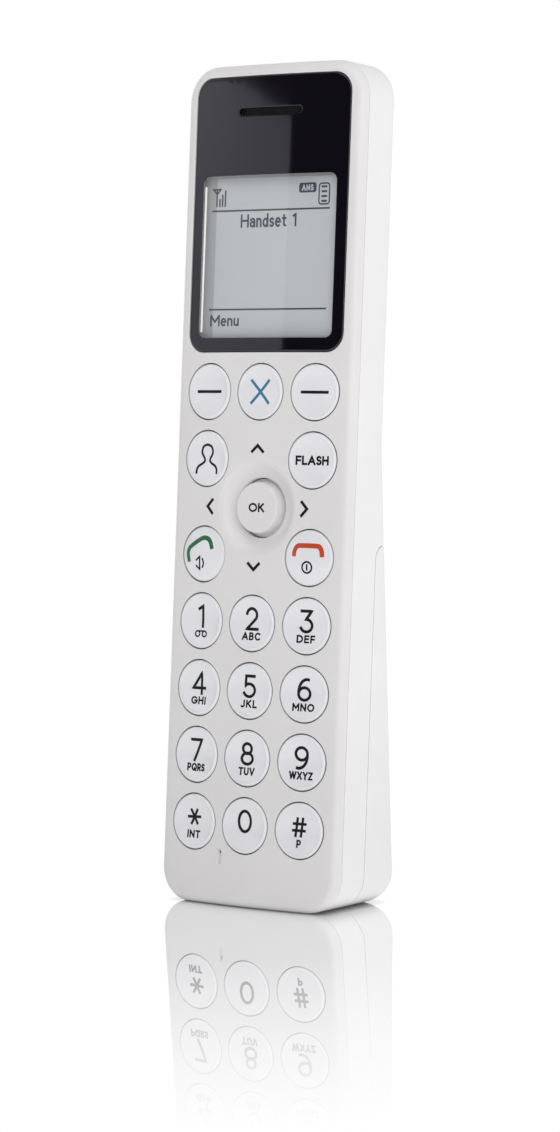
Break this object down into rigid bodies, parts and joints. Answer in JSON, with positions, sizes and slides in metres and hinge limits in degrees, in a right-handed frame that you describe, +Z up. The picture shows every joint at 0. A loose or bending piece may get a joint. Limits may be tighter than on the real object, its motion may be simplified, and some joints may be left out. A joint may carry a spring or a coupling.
{
  "type": "cordless telephone handset",
  "caption": "Slim upright cordless telephone handset with a display, round keys, a dished navigation key and a battery cover behind.",
  "frame": {"origin": "on the surface the handset stands on, under the middle of its bounding box", "axes": "+Z up with the handset standing on its foot and leaning 4.53 degrees back, -Y out of the front face, +X to the right as seen from the front"},
  "size_m": [0.0434, 0.0288, 0.1658],
  "materials": {
    "front_shell": "satin pearl grey",
    "rear_shell": "satin light grey",
    "cover_shell": "satin light grey",
    "window": "polished, printed black behind, with a clear display opening",
    "black_foam": "closed foam",
    "display_glass": "polarised, light grey",
    "diffuser": "frosted white",
    "flex_circuit": "amber film",
    "driver_metal": "plated can",
    "mesh": "woven",
    "black_rubber": "matte",
    "silicone": "translucent",
    "spring_steel": "plated",
    "circuit_board": "solder mask",
    "tinplate": "tinned",
    "chip_black": "moulded",
    "led_white": "clear",
    "spring_brass": "bright",
    "cell_sleeve": "shrink sleeve",
    "contact_plate": "gold flash",
    "screw_steel": "zinc",
    "switch_plastic": "moulded",
    "legend_ink": "printed, black",
    "legend_blue": "printed, blue",
    "legend_green": "printed, green",
    "legend_red": "printed, orange red",
    "lcd_ink": "dark picture elements",
    "white_frame": "white film",
    "ok_cap": "satin pearl grey",
    "key_cap": "gloss, cool light grey"
  },
  "bodies": {
    "handset": {"front_housing": "front_shell", "rear_housing": "rear_shell", "display_window": "window", "window_tape": "black_foam", "lcd_glass": "display_glass", "lcd_backlight": "diffuser", "lcd_flex": "flex_circuit", "receiver": "driver_metal", "receiver_gasket": "black_foam", "receiver_mesh": "mesh", "loudspeaker": "driver_metal", "loudspeaker_gasket": "black_foam", "microphone": "driver_metal", "microphone_boot": "black_rubber", "keymat": "silicone", "key_domes": "spring_steel", "main_board": "circuit_board", "rf_shield": "tinplate", "board_chips": "chip_black", "board_leds": "led_white", "antenna": "spring_brass", "battery_cell_left": "cell_sleeve", "battery_cell_right": "cell_sleeve", "battery_springs": "spring_steel", "battery_plates": "spring_steel", "charging_contacts": "contact_plate", "housing_screws": "screw_steel", "nav_switch_base": "switch_plastic"},
    "battery_cover": {"battery_cover": "cover_shell"},
    "nav_ring": {"nav_switch_ring": "spring_steel"},
    "nav_stem": {"nav_switch_stem": "switch_plastic"},
    "ok_key": {"ok_key": "ok_cap"},
    "key_soft_left": {"key_soft_left": "key_cap"},
    "key_block": {"key_block": "key_cap"},
    "key_soft_right": {"key_soft_right": "key_cap"},
    "key_contacts": {"key_contacts": "key_cap"},
    "key_flash": {"key_flash": "key_cap"},
    "key_talk": {"key_talk": "key_cap"},
    "key_end": {"key_end": "key_cap"},
    "key_1": {"key_1": "key_cap"},
    "key_2": {"key_2": "key_cap"},
    "key_3": {"key_3": "key_cap"},
    "key_4": {"key_4": "key_cap"},
    "key_5": {"key_5": "key_cap"},
    "key_6": {"key_6": "key_cap"},
    "key_7": {"key_7": "key_cap"},
    "key_8": {"key_8": "key_cap"},
    "key_9": {"key_9": "key_cap"},
    "key_star": {"key_star": "key_cap"},
    "key_0": {"key_0": "key_cap"},
    "key_hash": {"key_hash": "key_cap"}
  },
  "joints": [
    {"name": "battery_cover_slide", "type": "slide", "parent": "handset", "child": "battery_cover", "axis": [0, 0.0257, -0.9997], "range_m": [0, 0.006]},
    {"name": "key_soft_left_press", "type": "slide", "parent": "handset", "child": "key_soft_left", "axis": [0, 0.9969, -0.079], "range_m": [0, 0.0006], "stiffness_N_per_m": 1500},
    {"name": "key_block_press", "type": "slide", "parent": "handset", "child": "key_block", "axis": [0, 0.9969, -0.079], "range_m": [0, 0.0006], "stiffness_N_per_m": 1500},
    {"name": "key_soft_right_press", "type": "slide", "parent": "handset", "child": "key_soft_right", "axis": [0, 0.9969, -0.079], "range_m": [0, 0.0006], "stiffness_N_per_m": 1500},
    {"name": "key_contacts_press", "type": "slide", "parent": "handset", "child": "key_contacts", "axis": [0, 0.9969, -0.079], "range_m": [0, 0.0006], "stiffness_N_per_m": 1500},
    {"name": "key_flash_press", "type": "slide", "parent": "handset", "child": "key_flash", "axis": [0, 0.9969, -0.079], "range_m": [0, 0.0006], "stiffness_N_per_m": 1500},
    {"name": "key_talk_press", "type": "slide", "parent": "handset", "child": "key_talk", "axis": [0, 0.9969, -0.079], "range_m": [0, 0.0006], "stiffness_N_per_m": 1500},
    {"name": "key_end_press", "type": "slide", "parent": "handset", "child": "key_end", "axis": [0, 0.9969, -0.079], "range_m": [0, 0.0006], "stiffness_N_per_m": 1500},
    {"name": "key_1_press", "type": "slide", "parent": "handset", "child": "key_1", "axis": [0, 0.9969, -0.079], "range_m": [0, 0.0006], "stiffness_N_per_m": 1500},
    {"name": "key_2_press", "type": "slide", "parent": "handset", "child": "key_2", "axis": [0, 0.9969, -0.079], "range_m": [0, 0.0006], "stiffness_N_per_m": 1500},
    {"name": "key_3_press", "type": "slide", "parent": "handset", "child": "key_3", "axis": [0, 0.9969, -0.079], "range_m": [0, 0.0006], "stiffness_N_per_m": 1500},
    {"name": "key_4_press", "type": "slide", "parent": "handset", "child": "key_4", "axis": [0, 0.9969, -0.079], "range_m": [0, 0.0006], "stiffness_N_per_m": 1500},
    {"name": "key_5_press", "type": "slide", "parent": "handset", "child": "key_5", "axis": [0, 0.9969, -0.079], "range_m": [0, 0.0006], "stiffness_N_per_m": 1500},
    {"name": "key_6_press", "type": "slide", "parent": "handset", "child": "key_6", "axis": [0, 0.9969, -0.079], "range_m": [0, 0.0006], "stiffness_N_per_m": 1500},
    {"name": "key_7_press", "type": "slide", "parent": "handset", "child": "key_7", "axis": [0, 0.9969, -0.079], "range_m": [0, 0.0006], "stiffness_N_per_m": 1500},
    {"name": "key_8_press", "type": "slide", "parent": "handset", "child": "key_8", "axis": [0, 0.9969, -0.079], "range_m": [0, 0.0006], "stiffness_N_per_m": 1500},
    {"name": "key_9_press", "type": "slide", "parent": "handset", "child": "key_9", "axis": [0, 0.9969, -0.079], "range_m": [0, 0.0006], "stiffness_N_per_m": 1500},
    {"name": "key_star_press", "type": "slide", "parent": "handset", "child": "key_star", "axis": [0, 0.9969, -0.079], "range_m": [0, 0.0006], "stiffness_N_per_m": 1500},
    {"name": "key_0_press", "type": "slide", "parent": "handset", "child": "key_0", "axis": [0, 0.9969, -0.079], "range_m": [0, 0.0006], "stiffness_N_per_m": 1500},
    {"name": "key_hash_press", "type": "slide", "parent": "handset", "child": "key_hash", "axis": [0, 0.9969, -0.079], "range_m": [0, 0.0006], "stiffness_N_per_m": 1500},
    {"name": "nav_tilt_up_down", "type": "hinge", "parent": "handset", "child": "nav_ring", "pos_m": [0, -0.00456, 0.07837], "axis": [1, 0, 0], "range_deg": [-3, 3], "stiffness_Nm_per_rad": 0.05},
    {"name": "nav_tilt_left_right", "type": "hinge", "parent": "nav_ring", "child": "nav_stem", "pos_m": [0, -0.00456, 0.07837], "axis": [0, 0.079, 0.9969], "range_deg": [-3, 3], "stiffness_Nm_per_rad": 0.05},
    {"name": "ok_key_press", "type": "slide", "parent": "nav_stem", "child": "ok_key", "axis": [0, 0.9969, -0.079], "range_m": [0, 0.0004], "stiffness_N_per_m": 1500}
  ]
}
